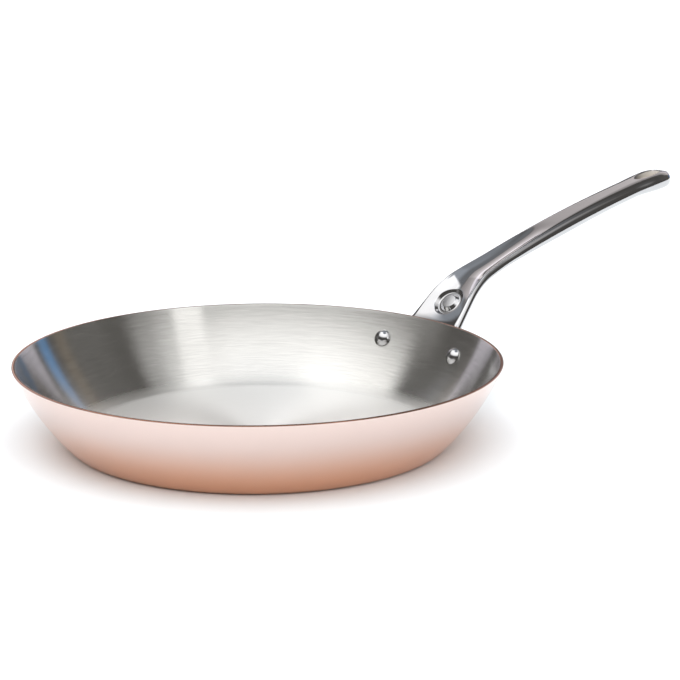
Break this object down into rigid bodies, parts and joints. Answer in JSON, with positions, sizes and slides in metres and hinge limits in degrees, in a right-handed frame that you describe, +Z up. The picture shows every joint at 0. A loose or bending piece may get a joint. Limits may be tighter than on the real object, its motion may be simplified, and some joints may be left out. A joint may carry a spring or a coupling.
{
  "type": "frying pan",
  "caption": "Round copper frying pan with flared walls, a bonded steel lining and a long cast steel handle riveted to the wall, with a hanging eye at its end.",
  "frame": {"origin": "centre of the flat base, on the surface that the pan stands on", "axes": "+Z up, out of the pan's mouth; +X from the pan's axis towards the end of the handle"},
  "size_m": [0.4996, 0.28, 0.1175],
  "materials": {
    "polished_copper": "polished copper",
    "satin_steel": "satin, with fine brush lines round the axis",
    "polished_steel": "mirror polished cast stainless steel",
    "rivet_steel": "polished stainless steel"
  },
  "bodies": {
    "root": {"copper_body": "polished_copper", "steel_lining": "satin_steel", "handle": "polished_steel", "rivet_left": "rivet_steel", "rivet_right": "rivet_steel"}
  },
  "joints": []
}
